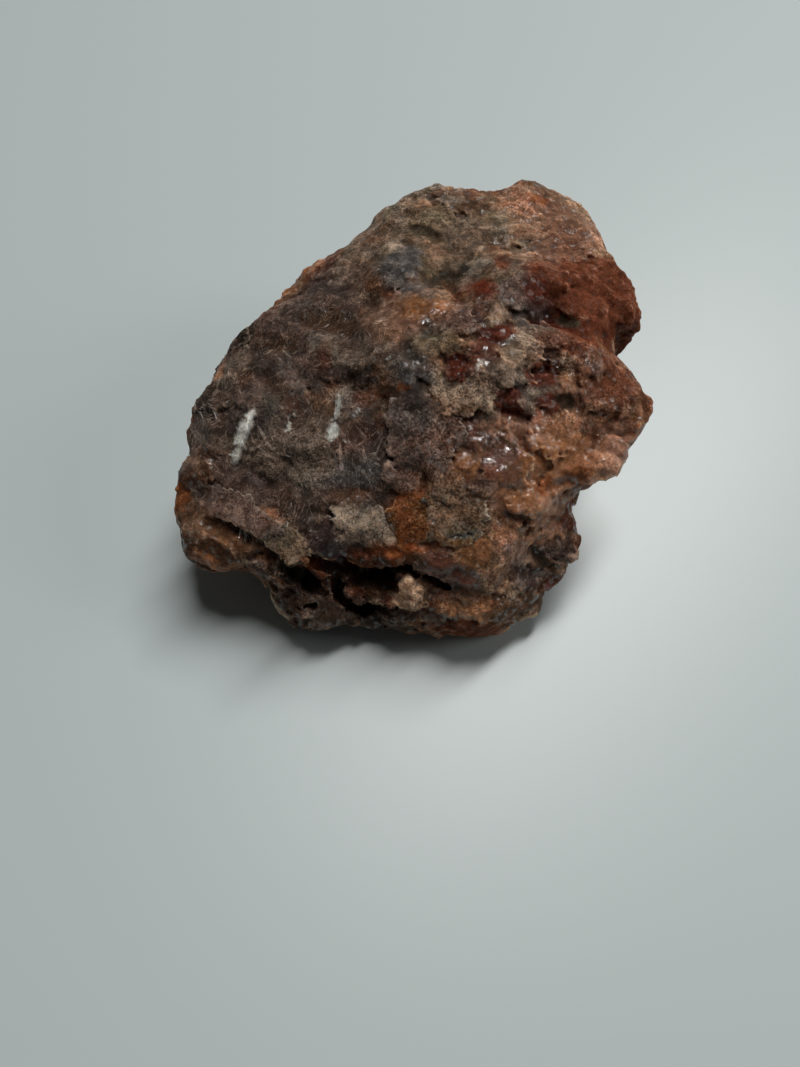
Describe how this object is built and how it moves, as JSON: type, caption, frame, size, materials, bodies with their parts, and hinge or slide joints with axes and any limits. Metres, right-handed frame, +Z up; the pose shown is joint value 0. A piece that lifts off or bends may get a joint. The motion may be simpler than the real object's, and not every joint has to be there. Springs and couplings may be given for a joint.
{
  "type": "halite crystal",
  "caption": "Rough, rust-stained lump of intergrown halite lying on its base, with a sloping top, an overhanging front lip with hollows under it, and a notched, flaring right edge.",
  "frame": {"origin": "bottom centre of the lump's box, on the surface that it rests on", "axes": "+Z up, +X to the right and +Y away from the side with the overhanging lip"},
  "size_m": [0.0734, 0.074, 0.0398],
  "materials": {
    "halite": "cloudy translucent rock salt, frosted grey-brown with honey and rust-red patches, greasy lustre"
  },
  "bodies": {
    "root": {"halite_crystal": "halite"}
  },
  "joints": []
}
